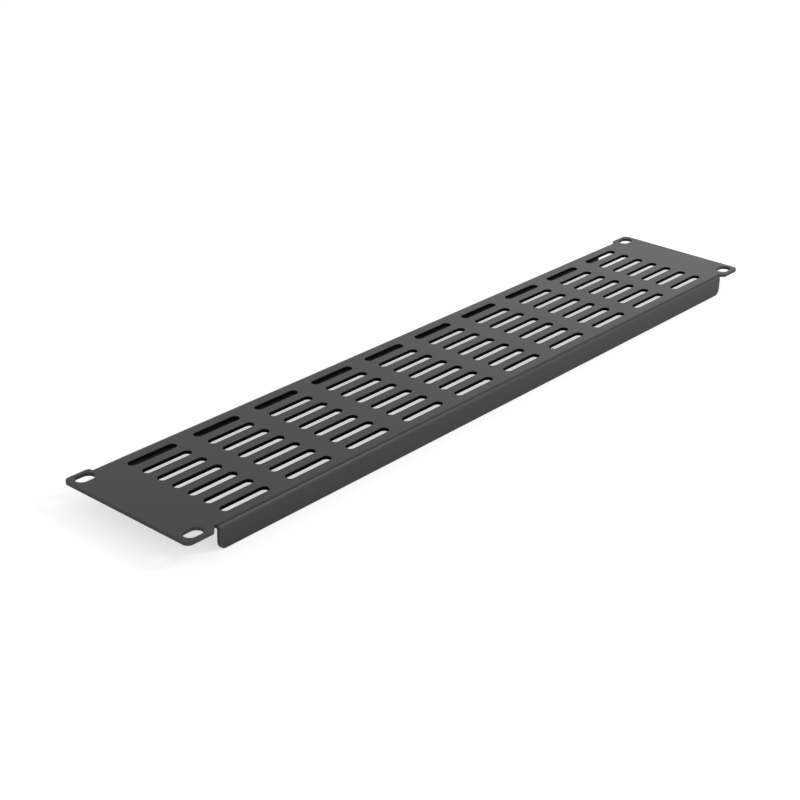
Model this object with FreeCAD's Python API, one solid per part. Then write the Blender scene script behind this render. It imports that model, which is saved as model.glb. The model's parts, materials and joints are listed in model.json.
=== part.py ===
"""Vented blanking panel for a 19-inch rack, two rack units high.

One piece of sheet steel: a flat face with a field of ventilation slots, a slotted
ear at each end that bolts to the rack rails, and a return flange folded back along
each long edge. The panel lies face up, on the free edges of its two flanges.

Frame, in millimetres: X runs along the panel's width, Y up its height when it is
mounted, and Z out of its front face. The origin is the middle of the four rack
slots, on the rear side of the sheet, which is the side that seats on the rails.
"""
import FreeCAD, Part
import math
import os

# Rack standard
RACK_PANEL_WIDTH = 482.6
RACK_UNIT = 44.45
PANEL_UNITS = 2
STACKING_GAP = 0.8
RACK_SLOT_SPACING_X = 465.1
RACK_SLOT_SPACING_Y = 76.2

# Sheet and folds
SHEET = 2.0
BEND_INSIDE_RADIUS = 0.5
OVERALL_DEPTH = 13.0
FOLD_SETBACK = 1.0

# Ears: where the slanted inner edge meets the long edge, and the corners
EAR_WIDTH = 16.1
EAR_CORNER_RADIUS = 3.5
EAR_INNER_CORNER_RADIUS = 2.0

# Return flanges: how far each stops short of the panel's ends, and its free corners
FRONT_FLANGE_INSET = 20.5
REAR_FLANGE_INSET = 35.0
FLANGE_CORNER_RADIUS = 4.0

# Plain rear edge between the shorter rear flange and each ear
REAR_EDGE_SETBACK = 2.75

# Bend reliefs: front ones are wedges down to a slit, rear ones are the slit alone
RELIEF_DEPTH = 3.8
RELIEF_SLIT = 0.4

# Rack slots
RACK_SLOT_LENGTH = 10.8
RACK_SLOT_WIDTH = 7.2

# Ventilation slots
VENT_COLUMNS = 10
VENT_ROWS = 7
VENT_PITCH_X = 43.25
VENT_PITCH_Y = 10.85
VENT_LENGTH = 30.5
VENT_WIDTH = 4.8

# Sizes that follow from the ones above
PANEL_HEIGHT = PANEL_UNITS * RACK_UNIT - STACKING_GAP
HALF_WIDTH = RACK_PANEL_WIDTH / 2
HALF_HEIGHT = PANEL_HEIGHT / 2
BEND_OUTSIDE_RADIUS = BEND_INSIDE_RADIUS + SHEET
FLANGE_FACE = HALF_HEIGHT - FOLD_SETBACK
BEND_START = FLANGE_FACE - BEND_OUTSIDE_RADIUS
FLANGE_EDGE_Z = SHEET - OVERALL_DEPTH
OVERCUT = 1.0

UP = FreeCAD.Vector(0, 0, 1)
ALONG_X = FreeCAD.Vector(1, 0, 0)


def rounded_wire(corners):
    """Closed wire through corner points (vector, radius), with an arc at each radius."""
    edges = []
    count = len(corners)
    starts = []
    ends = []
    for index, (corner, radius) in enumerate(corners):
        to_previous = (corners[index - 1][0] - corner).normalize()
        to_next = (corners[(index + 1) % count][0] - corner).normalize()
        half_angle = to_previous.getAngle(to_next) / 2
        setback = radius / math.tan(half_angle)
        start = corner + to_previous * setback
        end = corner + to_next * setback
        if radius > 0:
            bisector = (to_previous + to_next).normalize()
            middle = corner + bisector * (radius / math.sin(half_angle) - radius)
            edges.append((index, Part.Arc(start, middle, end).toShape()))
        starts.append(start)
        ends.append(end)
    for index in range(count):
        straight = Part.LineSegment(ends[index], starts[(index + 1) % count])
        edges.append((index + 0.5, straight.toShape()))
    edges.sort(key=lambda item: item[0])
    return Part.Wire([edge for _, edge in edges])


def obround(length, width, x, y):
    """Face of a slot with round ends, its long axis along X."""
    reach = (length - width) / 2
    radius = width / 2
    left_top = FreeCAD.Vector(x - reach, y + radius, 0)
    left_end = FreeCAD.Vector(x - reach - radius, y, 0)
    left_bottom = FreeCAD.Vector(x - reach, y - radius, 0)
    right_bottom = FreeCAD.Vector(x + reach, y - radius, 0)
    right_end = FreeCAD.Vector(x + reach + radius, y, 0)
    right_top = FreeCAD.Vector(x + reach, y + radius, 0)
    outline = [
        Part.Arc(left_top, left_end, left_bottom).toShape(),
        Part.LineSegment(left_bottom, right_bottom).toShape(),
        Part.Arc(right_bottom, right_end, right_top).toShape(),
        Part.LineSegment(right_top, left_top).toShape(),
    ]
    return Part.Face(Part.Wire(outline))


def front_quarter():
    """Corners of the flat part's outline from the front fold to the end, for +X and +Y."""
    fold_end = HALF_WIDTH - FRONT_FLANGE_INSET
    relief_y = HALF_HEIGHT - RELIEF_DEPTH
    return [
        (fold_end, BEND_START, 0),
        (fold_end, relief_y, 0),
        (fold_end + RELIEF_SLIT, relief_y, 0),
        (HALF_WIDTH - EAR_WIDTH, HALF_HEIGHT, EAR_INNER_CORNER_RADIUS),
        (HALF_WIDTH, HALF_HEIGHT, EAR_CORNER_RADIUS),
    ]


def rear_quarter():
    """The same for the rear fold, with the plain edge that runs on to the ear."""
    fold_end = HALF_WIDTH - REAR_FLANGE_INSET
    relief_y = HALF_HEIGHT - RELIEF_DEPTH
    edge_y = HALF_HEIGHT - REAR_EDGE_SETBACK
    ear_x = HALF_WIDTH - EAR_WIDTH
    return [
        (fold_end, BEND_START, 0),
        (fold_end, relief_y, 0),
        (fold_end + RELIEF_SLIT, relief_y, 0),
        (fold_end + RELIEF_SLIT, edge_y, 0),
        (ear_x, edge_y, 0),
        (ear_x, HALF_HEIGHT, EAR_INNER_CORNER_RADIUS),
        (HALF_WIDTH, HALF_HEIGHT, EAR_CORNER_RADIUS),
    ]


def flat_outline():
    """Wire round the flat part: two ears, four reliefs and the two fold lines."""
    corners = []
    for sign_x, sign_y in ((1, 1), (1, -1), (-1, -1), (-1, 1)):
        quarter = rear_quarter() if sign_y > 0 else front_quarter()
        if sign_x != sign_y:
            quarter.reverse()
        for x, y, radius in quarter:
            corners.append((FreeCAD.Vector(sign_x * x, sign_y * y, 0), radius))
    return rounded_wire(corners)


def flat_part():
    """The face and the ears: everything that stays flat, without its openings."""
    return Part.Face(flat_outline()).extrude(UP * SHEET)


def fold_section(start_x):
    """Section across a fold on the +Y side: a quarter bend and the leg below it."""
    inner = BEND_INSIDE_RADIUS
    outer = BEND_OUTSIDE_RADIUS
    leg_inside = FLANGE_FACE - SHEET
    slant = math.sqrt(0.5)

    def at(y, z):
        return FreeCAD.Vector(start_x, y, z)

    outer_arc = Part.Arc(
        at(BEND_START, SHEET),
        at(BEND_START + outer * slant, outer * slant - inner),
        at(FLANGE_FACE, -inner),
    )
    inner_arc = Part.Arc(
        at(leg_inside, -inner),
        at(BEND_START + inner * slant, inner * slant - inner),
        at(BEND_START, 0),
    )
    outer_face = Part.LineSegment(at(FLANGE_FACE, -inner), at(FLANGE_FACE, FLANGE_EDGE_Z))
    free_edge = Part.LineSegment(at(FLANGE_FACE, FLANGE_EDGE_Z), at(leg_inside, FLANGE_EDGE_Z))
    inner_face = Part.LineSegment(at(leg_inside, FLANGE_EDGE_Z), at(leg_inside, -inner))
    fold_line = Part.LineSegment(at(BEND_START, 0), at(BEND_START, SHEET))
    outline = [outer_arc, outer_face, free_edge, inner_face, inner_arc, fold_line]
    return Part.Face(Part.Wire([curve.toShape() for curve in outline]))


def flange_outline(half_length):
    """Block with a flange's outline seen along Y, its two free corners rounded."""
    start_y = BEND_START - OVERCUT
    top_z = SHEET + OVERCUT
    corners = [
        (FreeCAD.Vector(-half_length, start_y, FLANGE_EDGE_Z), FLANGE_CORNER_RADIUS),
        (FreeCAD.Vector(half_length, start_y, FLANGE_EDGE_Z), FLANGE_CORNER_RADIUS),
        (FreeCAD.Vector(half_length, start_y, top_z), 0),
        (FreeCAD.Vector(-half_length, start_y, top_z), 0),
    ]
    reach = BEND_OUTSIDE_RADIUS + 2 * OVERCUT
    return Part.Face(rounded_wire(corners)).extrude(FreeCAD.Vector(0, reach, 0))


def return_flange(inset):
    """Return flange along the edge at +Y: bend and leg, with rounded free corners."""
    half_length = HALF_WIDTH - inset
    folded = fold_section(-half_length).extrude(ALONG_X * (2 * half_length))
    return folded.common(flange_outline(half_length))


def rear_flange():
    """The shorter flange, along the edge at +Y."""
    return return_flange(REAR_FLANGE_INSET)


def front_flange():
    """The longer flange, along the edge at -Y."""
    flange = return_flange(FRONT_FLANGE_INSET)
    flange.rotate(FreeCAD.Vector(0, 0, 0), UP, 180)
    return flange


def vent_openings():
    """Ventilation slots in columns and rows, centred on the face."""
    first_x = -(VENT_COLUMNS - 1) * VENT_PITCH_X / 2
    first_y = -(VENT_ROWS - 1) * VENT_PITCH_Y / 2
    faces = []
    for column in range(VENT_COLUMNS):
        for row in range(VENT_ROWS):
            x = first_x + column * VENT_PITCH_X
            y = first_y + row * VENT_PITCH_Y
            faces.append(obround(VENT_LENGTH, VENT_WIDTH, x, y))
    return faces


def rack_openings():
    """The four slots that take the rack screws, one near each corner."""
    faces = []
    for sign_x in (-1, 1):
        for sign_y in (-1, 1):
            x = sign_x * RACK_SLOT_SPACING_X / 2
            y = sign_y * RACK_SLOT_SPACING_Y / 2
            faces.append(obround(RACK_SLOT_LENGTH, RACK_SLOT_WIDTH, x, y))
    return faces


def punched(sheet):
    """The flat part with every slot punched through it."""
    punches = []
    for face in vent_openings() + rack_openings():
        punch = face.extrude(UP * (SHEET + 2 * OVERCUT))
        punch.translate(UP * -OVERCUT)
        punches.append(punch)
    return sheet.cut(Part.Compound(punches))


def blanking_panel():
    """The whole panel: punched flat part and two folds, joined into one solid."""
    panel = punched(flat_part()).fuse([front_flange(), rear_flange()])
    panel = panel.removeSplitter()
    if len(panel.Solids) != 1:
        raise RuntimeError("the panel should be one solid, not %d" % len(panel.Solids))
    return panel.Solids[0]


def main():
    os.makedirs("parts", exist_ok=True)
    panel = blanking_panel()
    if not panel.isValid():
        raise RuntimeError("the panel's solid isn't valid")
    panel.exportStep("parts/blanking_panel.step")
    box = panel.BoundBox
    print("size %.2f x %.2f x %.2f mm" % (box.XLength, box.YLength, box.ZLength))
    print("volume %.1f mm3, faces %d" % (panel.Volume, len(panel.Faces)))


main()
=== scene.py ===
"""Vented rack blanking panel: one folded steel sheet with a powder coat, and its stage."""

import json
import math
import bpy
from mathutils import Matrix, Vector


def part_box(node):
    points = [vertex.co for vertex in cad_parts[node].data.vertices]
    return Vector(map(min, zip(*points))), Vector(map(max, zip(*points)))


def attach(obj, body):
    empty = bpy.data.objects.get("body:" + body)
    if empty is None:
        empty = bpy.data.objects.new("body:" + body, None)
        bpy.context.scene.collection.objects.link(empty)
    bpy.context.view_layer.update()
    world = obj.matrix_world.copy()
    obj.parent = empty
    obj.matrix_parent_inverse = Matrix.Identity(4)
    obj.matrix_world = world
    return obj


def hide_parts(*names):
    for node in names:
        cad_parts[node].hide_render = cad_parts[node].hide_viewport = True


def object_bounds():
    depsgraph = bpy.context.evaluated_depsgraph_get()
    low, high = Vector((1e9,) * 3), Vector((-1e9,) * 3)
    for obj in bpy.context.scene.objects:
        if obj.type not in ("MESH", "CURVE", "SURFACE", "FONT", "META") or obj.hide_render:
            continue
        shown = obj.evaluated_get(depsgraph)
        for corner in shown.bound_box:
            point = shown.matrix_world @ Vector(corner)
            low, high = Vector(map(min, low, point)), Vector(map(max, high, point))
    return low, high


bl_info = {
    "name": "Vented Rack Blanking Panel",
    "version": (1, 0, 0),
    "blender": (4, 5, 0),
    "location": "View3D > Sidebar > Rack Panel",
    "description": "Builds a folded and vented blanking panel with a powder coat, on a plain stage",
    "category": "Object",
}

import bmesh
import bpy
from bpy.props import FloatProperty, FloatVectorProperty, IntProperty, PointerProperty
from mathutils import Euler, Matrix, Vector
from mathutils.geometry import delaunay_2d_cdt

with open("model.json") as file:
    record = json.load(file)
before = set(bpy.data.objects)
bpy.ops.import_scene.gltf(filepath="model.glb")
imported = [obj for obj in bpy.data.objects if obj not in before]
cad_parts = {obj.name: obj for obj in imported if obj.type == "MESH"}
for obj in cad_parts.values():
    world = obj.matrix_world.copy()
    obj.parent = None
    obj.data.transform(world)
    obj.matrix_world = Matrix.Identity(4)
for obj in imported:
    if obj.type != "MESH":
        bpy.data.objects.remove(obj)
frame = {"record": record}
CAD_LOW, CAD_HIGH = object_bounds()

NODE = "blanking_panel"
FINISH = "powder_coat"
PANEL_LOW, PANEL_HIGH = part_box(NODE)
RACK_SLOTS = next(m for m in frame["record"]["mounts"] if m["name"] == "rack_slots")["dims"]
MM = 0.001
WHITE = (1.0, 1.0, 1.0, 1.0)

# How the mesh is made, in metres unless said otherwise.
ARC_STEP = math.radians(9)    # the most that one chord of a rounded corner turns
BESIDE_BEND = 0.0004          # lines this far outside each bend keep its shading crisp
CLEAR_OF_RIM = 0.001          # the line before a bend stops this far from the flange's rims
SAME_PLACE = 1e-6             # measures that differ by less are taken as equal
CLEAR_OF_CORNER = 1e-7        # a cut this near to a corner isn't made
WELD = 2e-6                   # vertices nearer than this become one
FILL_TOLERANCE_MM = 1e-4      # in millimetres, the unit that the filling works in
WHOLE_HULL = 0                # the filling's own code for triangles over everything

# Sockets of Blender's colour Mix node, whose names repeat.
MIX_FACTOR, MIX_FIRST, MIX_SECOND, MIX_RESULT = 0, 6, 7, 2

# The powder coat's texture.
GRAIN_DETAIL, GRAIN_ROUGHNESS = 2.0, 0.55
CLOUDS_PER_METRE, CLOUD_DETAIL, CLOUD_ROUGHNESS = 22.0, 3.0, 0.5
PALEST_CLOUD = 1.10           # times the coat's colour
# How far the rounded edges turn paler: partly coat worn back, partly a painted highlight of the rim
# the edges catch.
LEAST_WEAR_AND_SHEEN, CLOUD_WEAR_AND_SHEEN = 0.55, 0.5
ROUGHNESS_BELOW_MEAN = 0.06
ROUGHER_CLOUD, ROUGHER_GRAIN, ROUGHER_WALL = 0.07, 0.05, 0.2
GRAIN_STRENGTH = 0.6
SLOT_SHADE_SHARE = 0.85            # of the slot walls' look that is a plain matt painted shade

# The lamps: name, place, width and height in metres, and the setting that holds the power.
SOFTBOXES = (
    ("far_softbox", (1.87, 0.94, 0.68), 0.9, 0.7, "far_power"),
    ("front_softbox", (0.45, -0.5, 0.62), 0.25, 0.25, "front_power"),
)
SENSOR_WIDTH_MM = 36.0


def length(name, description, millimetres):
    """A size property with its default in millimetres."""
    return FloatProperty(
        name=name, description=description, default=millimetres * MM, min=0.0,
        precision=5, subtype="DISTANCE", unit="LENGTH",
    )


# ---------------------------------------------------------------- settings


class RackPanelSheet(bpy.types.PropertyGroup):
    """Sizes of the folded sheet."""

    width: FloatProperty(
        name="Width", description="Over both ears", subtype="DISTANCE", unit="LENGTH",
        default=PANEL_HIGH.x - PANEL_LOW.x, precision=5,
    )
    height: FloatProperty(
        name="Height", description="Over the ears' long edges", subtype="DISTANCE",
        unit="LENGTH", default=PANEL_HIGH.y - PANEL_LOW.y, precision=5,
    )
    depth: FloatProperty(
        name="Depth", description="From the face to the flanges' free edges",
        subtype="DISTANCE", unit="LENGTH", default=PANEL_HIGH.z - PANEL_LOW.z, precision=5,
    )
    sheet: length("Sheet", "Thickness of the steel", 2.0)
    inside_radius: length("Inside bend radius", "Inner radius of each fold", 0.5)
    fold_setback: length("Fold setback", "How far the flanges stand in from the ears' edges", 1.0)
    edge_rounding: length("Edge rounding", "Rounding of every cut edge under the coat", 0.25)
    ear_width: length("Ear width", "From the end to where the ear leaves its long edge", 16.1)
    ear_corner: length("Ear corner", "Radius of the ears' outer corners", 3.5)
    ear_inner_corner: length("Ear inner corner", "Radius of the ears' inner corners", 2.0)
    front_inset: length("Front flange inset", "How far the front flange stops short", 20.5)
    rear_inset: length("Rear flange inset", "How far the rear flange stops short", 35.0)
    flange_corner: length("Flange corner", "Radius of the flanges' free corners", 4.0)
    rear_edge_setback: length("Rear edge setback", "How far the edge beside the rear flange "
                              "stands in", 2.75)
    relief_depth: length("Relief depth", "Depth of the bend reliefs from the long edge", 3.8)
    relief_slit: length("Relief slit", "Width of the slit beside each fold end", 0.4)


class RackPanelSlots(bpy.types.PropertyGroup):
    """Rack slots and ventilation slots."""

    rack_pitch_x: length("Rack slot pitch, width", "Between slots along the width",
                         RACK_SLOTS["spacing_x_mm"])
    rack_pitch_y: length("Rack slot pitch, height", "Between slots up the height",
                         RACK_SLOTS["spacing_y_mm"])
    rack_length: length("Rack slot length", "Over both round ends",
                        RACK_SLOTS["slot_length_mm"])
    rack_width: length("Rack slot width", "Across the slot", 2 * RACK_SLOTS["hole_r_mm"])
    vent_columns: IntProperty(name="Vent columns", description="Slots along the width",
                              default=10, min=1)
    vent_rows: IntProperty(name="Vent rows", description="Slots up the height",
                           default=7, min=1)
    vent_pitch_x: length("Vent pitch, width", "Between columns", 43.25)
    vent_pitch_y: length("Vent pitch, height", "Between rows", 10.85)
    vent_length: length("Vent length", "Over both round ends", 30.5)
    vent_width: length("Vent width", "Across the slot", 4.8)


class RackPanelCoat(bpy.types.PropertyGroup):
    """The powder coat."""

    colour: FloatVectorProperty(name="Colour", description="Coat on the open faces",
                                subtype="COLOR", size=3, min=0.0, max=1.0,
                                default=(0.055, 0.055, 0.056))
    # Painted shade: near black laid on the vent slots' walls where they lie in shade.
    slot_wall_shade: FloatVectorProperty(name="Recess colour",
                                       description="Painted shade on the walls of the vent slots",
                                       subtype="COLOR", size=3, min=0.0, max=1.0,
                                       default=(0.005, 0.005, 0.0052))
    # Paler coat over the rounded cut edges: partly coat worn back there, partly a painted highlight
    # of the bright rim those edges catch.
    edge_wear_and_sheen_colour: FloatVectorProperty(name="Edge colour",
                                     description="Coat drawn thin over the rounded edges",
                                     subtype="COLOR", size=3, min=0.0, max=1.0,
                                     default=(0.085, 0.085, 0.086))
    roughness: FloatProperty(name="Roughness", description="Mean roughness of the coat",
                             default=0.36, min=0.0, max=1.0, subtype="FACTOR")
    grain: length("Grain", "Size of the coat's fine texture", 0.7)
    grain_height: length("Grain height", "Height of the coat's fine texture", 0.012)


class RackPanelStage(bpy.types.PropertyGroup):
    """Floor, lamps and camera."""

    floor_size: length("Floor size", "Side of the square floor", 8000.0)
    floor_colour: FloatVectorProperty(name="Floor colour", description="Plain pale floor",
                                      subtype="COLOR", size=3, min=0.0, max=1.0,
                                      default=(0.95, 0.95, 0.95))
    floor_glow: FloatProperty(name="Floor glow",
                              description="White added to the floor as the camera sees it",
                              default=0.6, min=0.0, max=1.0)
    room_light: FloatProperty(name="Room light", description="Strength of the soft room light",
                              default=0.289, min=0.0)
    wall_light: FloatProperty(name="Wall light",
                              description="Extra strength of the room's walls at floor level",
                              default=0.978, min=0.0)
    wall_height: FloatProperty(name="Wall height",
                               description="Sine of the angle up at which the walls' light ends",
                               default=0.625, min=0.01, max=1.0)
    far_power: FloatProperty(name="Far softbox", description="Power of the lamp beyond the panel",
                             default=0.58, min=0.0, subtype="POWER", unit="POWER")
    front_power: FloatProperty(name="Front softbox",
                               description="Power of the lamp that picks out the front fold",
                               default=1.383, min=0.0, subtype="POWER", unit="POWER")
    lens: FloatProperty(name="Lens", description="Focal length of the camera",
                        default=72.462, min=1.0, subtype="DISTANCE_CAMERA", unit="CAMERA")
    camera_place: FloatVectorProperty(name="Camera place", description="Where the camera stands",
                                      subtype="TRANSLATION", unit="LENGTH", size=3,
                                      default=(-0.65464, -0.5153, 0.37152))
    camera_turn: FloatVectorProperty(name="Camera turn", description="How the camera is turned",
                                     subtype="EULER", unit="ROTATION", size=3,
                                     default=tuple(math.radians(a) for a in
                                                   (64.4956, -1.3429, -49.1558)))


# ------------------------------------------------------- shader expressions


class Signal:
    """A shader socket that sums and products can be written with."""

    def __init__(self, shader, socket):
        self.shader = shader
        self.socket = socket

    def _math(self, operation, first, second):
        return self.shader.node("ShaderNodeMath", {"operation": operation},
                                {0: first, 1: second})

    def __add__(self, other):
        return self._math("ADD", self, other)

    def __radd__(self, other):
        return self._math("ADD", other, self)

    def __rsub__(self, other):
        return self._math("SUBTRACT", other, self)

    def __mul__(self, other):
        return self._math("MULTIPLY", self, other)

    def __rmul__(self, other):
        return self._math("MULTIPLY", other, self)


class Shader:
    """A material or world node tree, filled one node at a time."""

    def __init__(self, owner):
        owner.use_nodes = True
        self.tree = owner.node_tree
        self.tree.nodes.clear()

    def node(self, kind, settings=None, values=None, output=0):
        """Adds a node with its settings, values and links, and gives one of its outputs."""
        made = self.tree.nodes.new(kind)
        for name, value in (settings or {}).items():
            setattr(made, name, value)
        for key, value in (values or {}).items():
            if isinstance(value, Signal):
                self.tree.links.new(value.socket, made.inputs[key])
            else:
                made.inputs[key].default_value = value
        if not made.outputs:
            return made
        return Signal(self, made.outputs[output])

    def blend(self, factor, first, second):
        """Mixes two colours."""
        return self.node("ShaderNodeMix", {"data_type": "RGBA"},
                         {MIX_FACTOR: factor, MIX_FIRST: first, MIX_SECOND: second},
                         output=MIX_RESULT)


def opaque(colour):
    """A colour with full alpha."""
    return (colour[0], colour[1], colour[2], 1.0)


# ------------------------------------------------------------- sheet outline


def rounded_loop(corners):
    """Points along a closed outline of (x, y, radius) corners, an arc at each radius."""
    points = []
    count = len(corners)
    for index, (x, y, radius) in enumerate(corners):
        corner = Vector((x, y))
        before = Vector(corners[index - 1][:2]) - corner
        after = Vector(corners[(index + 1) % count][:2]) - corner
        if radius <= 0:
            points.append((x, y))
            continue
        before.normalize()
        after.normalize()
        half = before.angle(after) / 2
        start = corner + before * (radius / math.tan(half))
        centre = corner + (before + after).normalized() * (radius / math.sin(half))
        sweep = math.pi - 2 * half
        if before.x * after.y - before.y * after.x > 0:
            sweep = -sweep
        pieces = max(2, math.ceil(abs(sweep) / ARC_STEP))
        arm = start - centre
        for k in range(pieces + 1):
            turned = Matrix.Rotation(sweep * k / pieces, 2) @ arm
            points.append((centre.x + turned.x, centre.y + turned.y))
    return points


def slot_loop(length, width, x=0.0, y=0.0, pieces=10):
    """Points round a slot with round ends, clockwise, so the steel is on the left."""
    radius = width / 2
    reach = length / 2 - radius
    points = []
    for side in (1, -1):
        for k in range(pieces + 1):
            angle = math.pi / 2 * side - math.pi * k / pieces
            points.append((x + side * reach + radius * math.cos(angle),
                           y + radius * math.sin(angle)))
    return points


def inset(points, distance):
    """Moves a closed loop towards the steel on its left."""
    moved = []
    count = len(points)
    for index, (x, y) in enumerate(points):
        px, py = points[index - 1]
        nx, ny = points[(index + 1) % count]
        ax, ay = x - px, y - py
        bx, by = nx - x, ny - y
        a, b = math.hypot(ax, ay), math.hypot(bx, by)
        n1 = (-ay / a, ax / a)
        n2 = (-by / b, bx / b)
        scale = distance / (1 + n1[0] * n2[0] + n1[1] * n2[1])
        moved.append((x + (n1[0] + n2[0]) * scale, y + (n1[1] + n2[1]) * scale))
    return moved


def edge_profile(thickness, rounding, steps=3):
    """(inset, height, paleness) from the face, over a rounded cut edge, to the rear side; the paler
    edge is partly worn coat and partly a painted highlight.
    """
    margin = rounding / 2
    upper = []
    for k in range(steps + 1):
        angle = math.pi / 2 * k / steps
        # Paleness peaks midway round the edge: partly worn coat, partly a painted highlight.
        wear_and_sheen = math.sin(2 * angle)
        upper.append((rounding * (1 - math.sin(angle)),
                      thickness - rounding * (1 - math.cos(angle)), wear_and_sheen))
    upper.insert(0, (rounding + margin, thickness, 0.0))
    lower = [(reach, thickness - height, wear_and_sheen) for reach, height, wear_and_sheen in reversed(upper)]
    return upper + lower


class Blank:
    """The flat blank's measures and the way it folds."""

    def __init__(self, s):
        self.half_x = s.width / 2
        self.half_y = s.height / 2
        self.inner = s.inside_radius
        self.bend_start = self.half_y - s.fold_setback - s.sheet - s.inside_radius
        self.bend_length = (s.inside_radius + s.sheet / 2) * math.pi / 2
        leg = s.depth - s.sheet - s.inside_radius
        self.end = self.bend_start + self.bend_length + leg
        self.slit = s.relief_slit
        self.stops_short = {1: s.rear_inset, -1: s.front_inset}

    def fold_end(self, side):
        """Half the length of the flange on that side."""
        return self.half_x - self.stops_short[side]

    def levels(self, steps=10):
        """Distances from the middle at which the blank bends, and one just past the bend."""
        lines = [self.bend_start + self.bend_length * k / steps for k in range(steps + 1)]
        return lines + [lines[-1] + BESIDE_BEND]

    def fold(self, x, y, height):
        """Where a point of the blank lies once its flange is folded down."""
        side = 1 if y > 0 else -1
        run = abs(y) - self.bend_start
        if run <= 0 or abs(x) > self.fold_end(side) + self.slit / 2:
            return (x, y, height)
        radius = self.inner + height
        if run < self.bend_length:
            angle = math.pi / 2 * run / self.bend_length
            out = self.bend_start + radius * math.sin(angle)
            return (x, side * out, -self.inner + radius * math.cos(angle))
        return (x, side * (self.bend_start + radius), -self.inner - (run - self.bend_length))


def quarter(s, blank, side):
    """Corners of a quarter of the blank, from the flange's free corner to the ear's."""
    fold_end = blank.fold_end(side)
    relief_y = blank.half_y - s.relief_depth
    ear_x = blank.half_x - s.ear_width
    corners = [
        (fold_end, blank.end, s.flange_corner),
        (fold_end, relief_y, 0.0),
        (fold_end + s.relief_slit, relief_y, 0.0),
    ]
    if side > 0:
        edge_y = blank.half_y - s.rear_edge_setback
        corners.append((fold_end + s.relief_slit, edge_y, 0.0))
        corners.append((ear_x, edge_y, 0.0))
    corners.append((ear_x, blank.half_y, s.ear_inner_corner))
    corners.append((blank.half_x, blank.half_y, s.ear_corner))
    return corners


def blank_outline(s, blank):
    """The whole blank's outline, anticlockwise, with points wherever it bends."""
    corners = []
    for sign_x, sign_y in ((1, 1), (-1, 1), (-1, -1), (1, -1)):
        part = [(sign_x * x, sign_y * y, r) for x, y, r in quarter(s, blank, sign_y)]
        if sign_x == sign_y:
            part.reverse()
        corners.extend(part)
    loop = rounded_loop(corners)
    points = []
    for index, (x, y) in enumerate(loop):
        nx, ny = loop[(index + 1) % len(loop)]
        points.append((x, y))
        side = 1 if y + ny > 0 else -1
        if abs(x - nx) > SAME_PLACE or abs(abs(x) - blank.fold_end(side)) > SAME_PLACE:
            continue
        low = min(y, ny) + CLEAR_OF_CORNER
        high = max(y, ny) - CLEAR_OF_CORNER
        cuts = [side * v for v in blank.levels() if low < side * v < high]
        points.extend((x, cut) for cut in sorted(cuts, reverse=ny < y))
    return points


def inside(point, loop):
    """Whether a point lies inside a closed loop."""
    x, y = point
    found = False
    for index in range(len(loop)):
        ax, ay = loop[index - 1]
        bx, by = loop[index]
        if (ay > y) != (by > y) and x < (bx - ax) * (y - ay) / (by - ay) + ax:
            found = not found
    return found


def filled(outline, holes, lines):
    """Triangles of a flat region between an outline and its holes, kept to fold lines."""
    points, edges = [], []
    for loop in [outline] + holes:
        first = len(points)
        points.extend(loop)
        count = len(loop)
        edges.extend((first + k, first + (k + 1) % count) for k in range(count))
    for line in lines:
        first = len(points)
        points.extend(line)
        edges.append((first, first + 1))
    scaled = [Vector((x / MM, y / MM)) for x, y in points]
    verts, _, faces, origins, _, _ = delaunay_2d_cdt(scaled, edges, [], WHOLE_HULL,
                                                     FILL_TOLERANCE_MM, True)
    placed = []
    for vert, origin in zip(verts, origins):
        placed.append(points[origin[0]] if origin else (vert.x * MM, vert.y * MM))
    boxes = []
    for hole in holes:
        xs, ys = [p[0] for p in hole], [p[1] for p in hole]
        boxes.append((min(xs), max(xs), min(ys), max(ys), hole))
    kept = []
    for face in faces:
        cx = sum(placed[v][0] for v in face) / len(face)
        cy = sum(placed[v][1] for v in face) / len(face)
        if not inside((cx, cy), outline):
            continue
        if any(x0 < cx < x1 and y0 < cy < y1 and inside((cx, cy), hole)
               for x0, x1, y0, y1, hole in boxes):
            continue
        kept.append(face)
    return placed, kept


# --------------------------------------------------------------- mesh making


def rim_rows(mesh, loop, profile, wall, place):
    """Adds the rows of vertices over one cut edge, and the faces between them."""
    wear_and_sheen_layer = mesh.verts.layers.float["edge_wear"]
    wall_layer = mesh.verts.layers.float["slot_wall"]
    rounding_start = profile[1][0]
    rows = []
    for reach, height, wear_and_sheen in profile:
        row = []
        for x, y in inset(loop, reach):
            vert = mesh.verts.new(place(x, y, height))
            # Paler rounded edges, partly worn coat and partly a painted highlight; slot walls
            # marked for painted shade.
            vert[wear_and_sheen_layer] = wear_and_sheen * (1.0 - wall)
            vert[wall_layer] = wall if reach < rounding_start else 0.0
            row.append(vert)
        rows.append(row)
    count = len(loop)
    for upper, lower in zip(rows, rows[1:]):
        for k in range(count):
            n = (k + 1) % count
            mesh.faces.new((upper[k], lower[k], lower[n], upper[n]))


def new_mesh():
    """An empty mesh with the coat's two layers: paler edges that are partly worn coat and partly a
    painted highlight, and the slot walls' painted shade.
    """
    mesh = bmesh.new()
    mesh.verts.layers.float.new("edge_wear")
    mesh.verts.layers.float.new("slot_wall")
    return mesh


def flat(x, y, height):
    """A point of the sheet where it isn't folded."""
    return (x, y, height)


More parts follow.
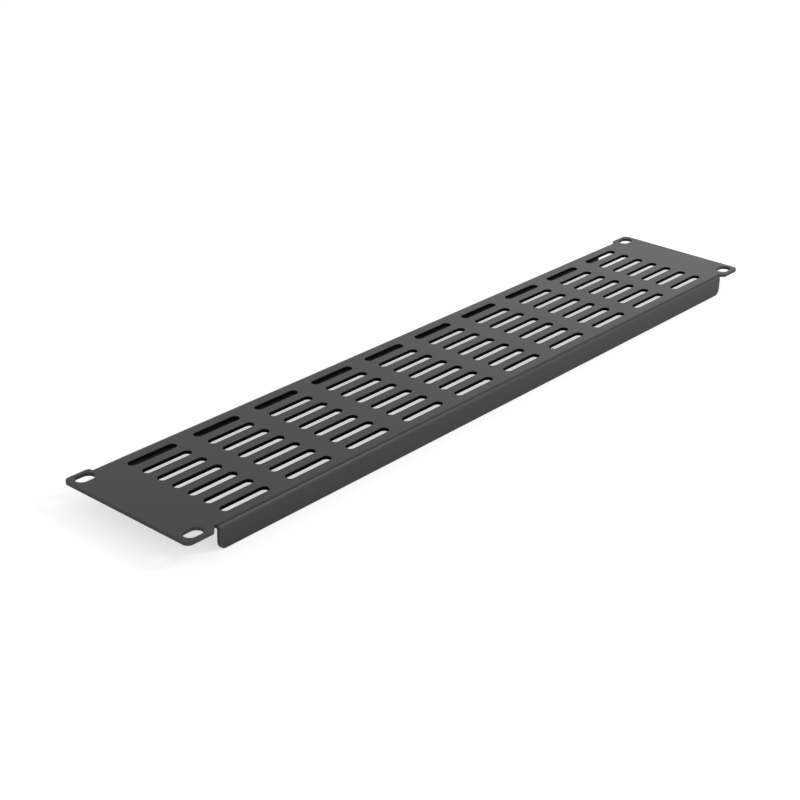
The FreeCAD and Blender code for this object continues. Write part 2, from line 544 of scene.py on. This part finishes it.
def vent_tree():
    """Geometry Nodes that set one slot's rim out on a grid of columns and rows."""
    tree = bpy.data.node_groups.new("vent_slot_grid", "GeometryNodeTree")
    for name, kind in (("Slot rim", "NodeSocketGeometry"), ("Columns", "NodeSocketInt"),
                       ("Rows", "NodeSocketInt"), ("Pitch along width", "NodeSocketFloat"),
                       ("Pitch up height", "NodeSocketFloat"), ("Coat", "NodeSocketMaterial")):
        tree.interface.new_socket(name, in_out="INPUT", socket_type=kind)
    tree.interface.new_socket("Slots", in_out="OUTPUT", socket_type="NodeSocketGeometry")
    nodes, link = tree.nodes, tree.links.new
    given = nodes.new("NodeGroupInput")
    result = nodes.new("NodeGroupOutput")
    grid = nodes.new("GeometryNodeMeshGrid")
    for count, pitch, across, number in (("Columns", "Pitch along width", "Size X", "Vertices X"),
                                         ("Rows", "Pitch up height", "Size Y", "Vertices Y")):
        gaps = nodes.new("ShaderNodeMath")
        gaps.operation = "SUBTRACT"
        gaps.inputs[1].default_value = 1.0   # one gap fewer than there are slots
        span = nodes.new("ShaderNodeMath")
        span.operation = "MULTIPLY"
        link(given.outputs[count], gaps.inputs[0])
        link(gaps.outputs[0], span.inputs[0])
        link(given.outputs[pitch], span.inputs[1])
        link(span.outputs[0], grid.inputs[across])
        link(given.outputs[count], grid.inputs[number])
    spread = nodes.new("GeometryNodeInstanceOnPoints")
    real = nodes.new("GeometryNodeRealizeInstances")
    coat = nodes.new("GeometryNodeSetMaterial")
    link(grid.outputs["Mesh"], spread.inputs["Points"])
    link(given.outputs["Slot rim"], spread.inputs["Instance"])
    link(spread.outputs["Instances"], real.inputs["Geometry"])
    link(real.outputs["Geometry"], coat.inputs["Geometry"])
    link(given.outputs["Coat"], coat.inputs["Material"])
    link(coat.outputs["Geometry"], result.inputs["Slots"])
    return tree


def vent_field(slots, profile, coat):
    """A plain mesh of every vent slot's rim, set out by Geometry Nodes."""
    rim = new_mesh()
    rim_rows(rim, slot_loop(slots.vent_length, slots.vent_width), profile, 1.0, flat)
    data = bpy.data.meshes.new("vent_rim")
    rim.to_mesh(data)
    rim.free()
    holder = bpy.data.objects.new("vent_rim", data)
    bpy.context.scene.collection.objects.link(holder)
    tree = vent_tree()
    values = {
        "Columns": slots.vent_columns,
        "Rows": slots.vent_rows,
        "Pitch along width": slots.vent_pitch_x,
        "Pitch up height": slots.vent_pitch_y,
        "Coat": coat,
    }
    modifier = holder.modifiers.new("vent_slot_grid", "NODES")
    modifier.node_group = tree
    for item in tree.interface.items_tree:
        if item.in_out == "INPUT" and item.name in values:
            modifier[item.identifier] = values[item.name]
    graph = bpy.context.evaluated_depsgraph_get()
    result = bpy.data.meshes.new_from_object(holder.evaluated_get(graph), depsgraph=graph)
    bpy.data.objects.remove(holder)
    return result


def vent_centres(slots):
    """Middle of every vent slot."""
    for column in range(slots.vent_columns):
        for row in range(slots.vent_rows):
            yield ((column - (slots.vent_columns - 1) / 2) * slots.vent_pitch_x,
                   (row - (slots.vent_rows - 1) / 2) * slots.vent_pitch_y)


def folded_sheet(s, slots, coat):
    """The whole panel as one closed mesh."""
    blank = Blank(s)
    profile = edge_profile(s.sheet, s.edge_rounding)
    support = profile[0][0]
    outline = blank_outline(s, blank)
    rack = [slot_loop(slots.rack_length, slots.rack_width, sx * slots.rack_pitch_x / 2,
                      sy * slots.rack_pitch_y / 2) for sx in (1, -1) for sy in (1, -1)]
    vents = [slot_loop(slots.vent_length, slots.vent_width, x, y)
             for x, y in vent_centres(slots)]

    mesh = new_mesh()
    field = vent_field(slots, profile, coat)
    mesh.from_mesh(field)
    bpy.data.meshes.remove(field)
    rim_rows(mesh, outline, profile, 0.0, blank.fold)
    for loop in rack:
        rim_rows(mesh, loop, profile, 0.0, flat)

    border = inset(outline, support)
    holes = [inset(loop, support) for loop in rack + vents]
    lines = []
    for side in (1, -1):
        reach = blank.fold_end(side) - support
        lines.extend(((-reach, side * v), (reach, side * v)) for v in blank.levels())
        before_bend = side * (blank.bend_start - BESIDE_BEND)
        short = reach - CLEAR_OF_RIM
        lines.append(((-short, before_bend), (short, before_bend)))
    placed, faces = filled(border, holes, lines)
    for height, upward in ((s.sheet, True), (0.0, False)):
        verts = [mesh.verts.new(blank.fold(x, y, height)) for x, y in placed]
        for face in faces:
            order = face if upward else list(reversed(face))
            mesh.faces.new([verts[v] for v in order])
        for vert in verts:
            if not vert.link_faces:
                mesh.verts.remove(vert)

    bmesh.ops.remove_doubles(mesh, verts=mesh.verts, dist=WELD)
    for face in mesh.faces:
        face.smooth = True
    open_edges = sum(1 for edge in mesh.edges if len(edge.link_faces) != 2)
    volume = mesh.calc_volume(signed=True) / MM ** 3
    data = bpy.data.meshes.new("folded_panel")
    mesh.to_mesh(data)
    mesh.free()
    if open_edges or volume <= 0:
        raise RuntimeError(f"the folded sheet isn't closed: {open_edges} open edges, "
                           f"volume {volume:.0f} mm3")
    print(f"folded sheet: volume {volume:.0f} mm3, {len(data.polygons)} faces")
    data.materials.clear()
    data.materials.append(coat)
    return data


# ----------------------------------------------------------------- materials


def powder_coat(c):
    """Fine-grained powder coat, paler over edges, partly worn coat and partly a painted highlight,
    and darkened in the slots by painted shade.
    """
    material = bpy.data.materials.new(FINISH)
    shader = Shader(material)
    place = shader.node("ShaderNodeTexCoord", output="Object")
    grain = shader.node("ShaderNodeTexNoise", {"noise_dimensions": "3D"},
                        {"Vector": place, "Scale": 1.0 / c.grain, "Detail": GRAIN_DETAIL,
                         "Roughness": GRAIN_ROUGHNESS})
    cloud = shader.node("ShaderNodeTexNoise", {"noise_dimensions": "3D"},
                        {"Vector": place, "Scale": CLOUDS_PER_METRE, "Detail": CLOUD_DETAIL,
                         "Roughness": CLOUD_ROUGHNESS})
    wear_and_sheen = shader.node("ShaderNodeAttribute", {"attribute_name": "edge_wear"}, output="Fac")
    wall = shader.node("ShaderNodeAttribute", {"attribute_name": "slot_wall"}, output="Fac")
    # Paler edges: partly worn coat, partly a painted highlight.
    wear_and_sheen_amount = wear_and_sheen * (LEAST_WEAR_AND_SHEEN + CLOUD_WEAR_AND_SHEEN * cloud)
    pale = opaque([PALEST_CLOUD * v for v in c.colour])
    colour = shader.blend(cloud, opaque(c.colour), pale)
    colour = shader.blend(wear_and_sheen_amount, colour, opaque(c.edge_wear_and_sheen_colour))
    # Painted shade: the slot walls darkened towards near black.
    colour = shader.blend(wall, colour, opaque(c.slot_wall_shade))
    smoothest = c.roughness - ROUGHNESS_BELOW_MEAN
    roughness = smoothest + ROUGHER_CLOUD * cloud + ROUGHER_GRAIN * grain + ROUGHER_WALL * wall
    bump = shader.node("ShaderNodeBump", None,
                       {"Strength": GRAIN_STRENGTH, "Distance": c.grain_height, "Height": grain})
    coated = shader.node("ShaderNodeBsdfPrincipled", None,
                         {"Base Color": colour, "Roughness": roughness, "Normal": bump})
    # Painted shade: a matt near-black surface mixed over the slot walls.
    slot_shade_surface = shader.node("ShaderNodeBsdfDiffuse", None, {"Color": opaque(c.slot_wall_shade)})
    surface = shader.node("ShaderNodeMixShader", None,
                          {0: SLOT_SHADE_SHARE * wall, 1: coated, 2: slot_shade_surface})
    shader.node("ShaderNodeOutputMaterial", None, {"Surface": surface})
    return material


# --------------------------------------------------------------------- stage


def camera_only(shader, usual, for_camera):
    """One surface for the light, and another as the camera sees it."""
    seen = shader.node("ShaderNodeLightPath", output="Is Camera Ray")
    return shader.node("ShaderNodeMixShader", None, {0: seen, 1: usual, 2: for_camera})


def pale_floor(g):
    """Plain floor that is seen as white where it is open, and keeps its own shadow."""
    material = bpy.data.materials.new("pale_floor")
    shader = Shader(material)
    plain = shader.node("ShaderNodeBsdfDiffuse", None, {"Color": opaque(g.floor_colour)})
    glow = shader.node("ShaderNodeEmission", None, {"Color": WHITE, "Strength": g.floor_glow})
    lifted = shader.node("ShaderNodeAddShader", None, {0: plain, 1: glow})
    shader.node("ShaderNodeOutputMaterial", None,
                {"Surface": camera_only(shader, plain, lifted)})
    return material


def floor_sheet(g):
    """A square floor at the height of the flanges' free edges."""
    half = g.floor_size / 2
    level = CAD_LOW.z
    data = bpy.data.meshes.new("floor")
    data.from_pydata([(-half, -half, level), (half, -half, level),
                      (half, half, level), (-half, half, level)], [], [(0, 1, 2, 3)])
    data.materials.append(pale_floor(g))
    return data


def soft_room(g):
    """Room light that is stronger near the floor, seen by the camera as white."""
    world = bpy.data.worlds.new("room")
    shader = Shader(world)
    way = shader.node("ShaderNodeTexCoord", output="Generated")
    up = shader.node("ShaderNodeSeparateXYZ", None, {"Vector": way}, output="Z")
    low = 1.0 - up * (1.0 / g.wall_height)
    tone = shader.blend(low, opaque((g.room_light,) * 3),
                        opaque((g.room_light + g.wall_light,) * 3))
    lit = shader.node("ShaderNodeBackground", None, {"Color": tone, "Strength": 1.0})
    white = shader.node("ShaderNodeBackground", None, {"Color": WHITE, "Strength": 1.0})
    shader.node("ShaderNodeOutputWorld", None, {"Surface": camera_only(shader, lit, white)})
    return world


def softbox(name, place, wide, high, power):
    """A flat lamp that faces the panel's middle."""
    lamp = bpy.data.lights.new(name, "AREA")
    lamp.shape = "RECTANGLE"
    lamp.size = wide
    lamp.size_y = high
    lamp.energy = power
    holder = bpy.data.objects.new(name, lamp)
    holder.location = place
    holder.rotation_euler = (-Vector(place)).to_track_quat("-Z", "Y").to_euler()
    return holder


def standing_camera(g):
    """The camera at its place and turn."""
    optics = bpy.data.cameras.new("camera")
    optics.lens = g.lens
    optics.sensor_width = SENSOR_WIDTH_MM
    camera = bpy.data.objects.new("camera", optics)
    camera.location = g.camera_place
    camera.rotation_euler = Euler(g.camera_turn, "XYZ")
    return camera


# ----------------------------------------------------------------- operators


class RACKPANEL_OT_sheet(bpy.types.Operator):
    """Build the folded, vented sheet with its powder coat"""

    bl_idname = "rackpanel.sheet"
    bl_label = "Folded panel"

    def execute(self, context):
        scene = context.scene
        coat = powder_coat(scene.rackpanel_coat)
        data = folded_sheet(scene.rackpanel_sheet, scene.rackpanel_slots, coat)
        panel = bpy.data.objects.new("folded_panel", data)
        scene.collection.objects.link(panel)
        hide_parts(NODE)
        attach(panel, "root")
        return {"FINISHED"}


class RACKPANEL_OT_stage(bpy.types.Operator):
    """Set out the floor, the soft lamps, the room light and the camera"""

    bl_idname = "rackpanel.stage"
    bl_label = "Stage"

    def execute(self, context):
        scene = context.scene
        g = scene.rackpanel_stage
        floor = bpy.data.objects.new("floor", floor_sheet(g))
        scene.collection.objects.link(floor)
        scene.world = soft_room(g)
        for name, place, wide, high, power in SOFTBOXES:
            scene.collection.objects.link(softbox(name, place, wide, high, getattr(g, power)))
        camera = standing_camera(g)
        scene.collection.objects.link(camera)
        scene.camera = camera
        scene.view_settings.view_transform = "Standard"
        return {"FINISHED"}


class RACKPANEL_PT_sidebar(bpy.types.Panel):
    """The panel's settings and the steps that build it"""

    bl_idname = "RACKPANEL_PT_sidebar"
    bl_label = "Vented blanking panel"
    bl_space_type = "VIEW_3D"
    bl_region_type = "UI"
    bl_category = "Rack Panel"

    def draw(self, context):
        layout = self.layout
        scene = context.scene
        for title, group, step in (
            ("Sheet", scene.rackpanel_sheet, None),
            ("Slots", scene.rackpanel_slots, None),
            ("Powder coat", scene.rackpanel_coat, RACKPANEL_OT_sheet),
            ("Stage", scene.rackpanel_stage, RACKPANEL_OT_stage),
        ):
            box = layout.box()
            box.label(text=title)
            for name in group.__annotations__:
                box.prop(group, name)
            if step is not None:
                box.operator(step.bl_idname)


GROUPS = {
    "rackpanel_sheet": RackPanelSheet,
    "rackpanel_slots": RackPanelSlots,
    "rackpanel_coat": RackPanelCoat,
    "rackpanel_stage": RackPanelStage,
}
CLASSES = (*GROUPS.values(), RACKPANEL_OT_sheet, RACKPANEL_OT_stage, RACKPANEL_PT_sidebar)


def register():
    for made in CLASSES:
        bpy.utils.register_class(made)
    for name, group in GROUPS.items():
        setattr(bpy.types.Scene, name, PointerProperty(type=group))


def unregister():
    for name in GROUPS:
        delattr(bpy.types.Scene, name)
    for made in reversed(CLASSES):
        bpy.utils.unregister_class(made)


def main():
    """Builds the panel and its stage."""
    register()
    bpy.ops.rackpanel.sheet()
    bpy.ops.rackpanel.stage()


if __name__ == "__main__":
    main()
